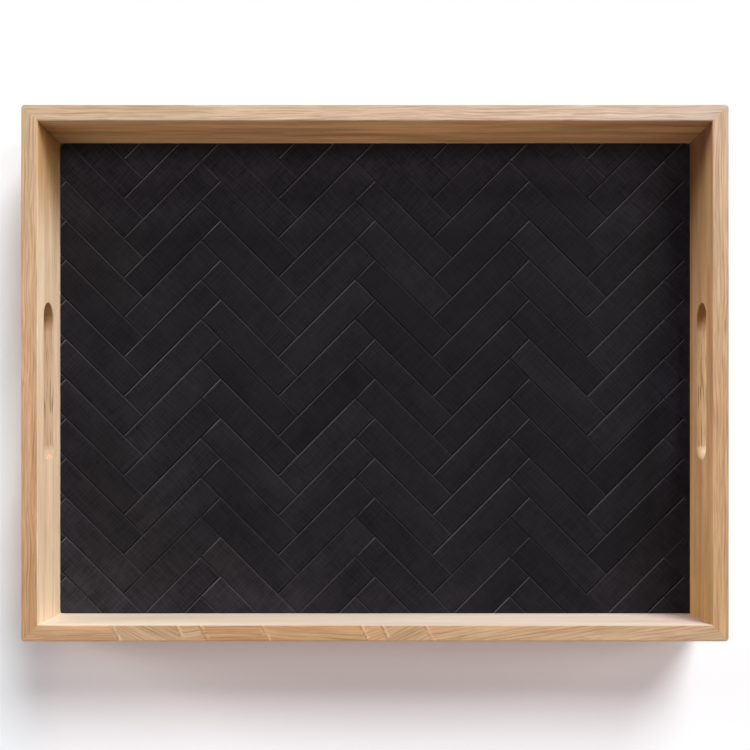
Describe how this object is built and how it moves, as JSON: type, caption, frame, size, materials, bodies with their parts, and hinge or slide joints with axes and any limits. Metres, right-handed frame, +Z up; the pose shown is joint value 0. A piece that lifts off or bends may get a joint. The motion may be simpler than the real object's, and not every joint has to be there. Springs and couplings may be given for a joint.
{
  "type": "serving tray",
  "caption": "Rectangular serving tray with mitred oak rails, rounded handle slots through the end rails and a flat floor of black herringbone strips.",
  "frame": {"origin": "on the table, under the middle of the tray", "axes": "+X along the tray's length, through the end rails with the handle slots; +Y towards the back rail; +Z up"},
  "size_m": [0.472, 0.358, 0.062],
  "materials": {
    "oak_frame": "light oak, clear matt oil, grain along each rail",
    "beech_tongue": "bare beech",
    "plywood_base": "birch plywood, sanded and sealed",
    "black_strip": "black stained wood, satin, bevelled edges",
    "felt_pad": "pressed wool felt"
  },
  "bodies": {
    "root": {"front_rail": "oak_frame", "back_rail": "oak_frame", "left_end_rail": "oak_frame", "right_end_rail": "oak_frame", "corner_tongue_front_left": "beech_tongue", "corner_tongue_front_right": "beech_tongue", "corner_tongue_back_left": "beech_tongue", "corner_tongue_back_right": "beech_tongue", "base_panel": "plywood_base", "herringbone_left_4": "black_strip", "herringbone_left_3": "black_strip", "herringbone_left_2": "black_strip", "herringbone_left_1": "black_strip", "herringbone_right_1": "black_strip", "herringbone_right_2": "black_strip", "herringbone_right_3": "black_strip", "herringbone_right_4": "black_strip", "herringbone_right_5": "black_strip", "felt_pad_front_left": "felt_pad", "felt_pad_front_right": "felt_pad", "felt_pad_back_left": "felt_pad", "felt_pad_back_right": "felt_pad"}
  },
  "joints": []
}
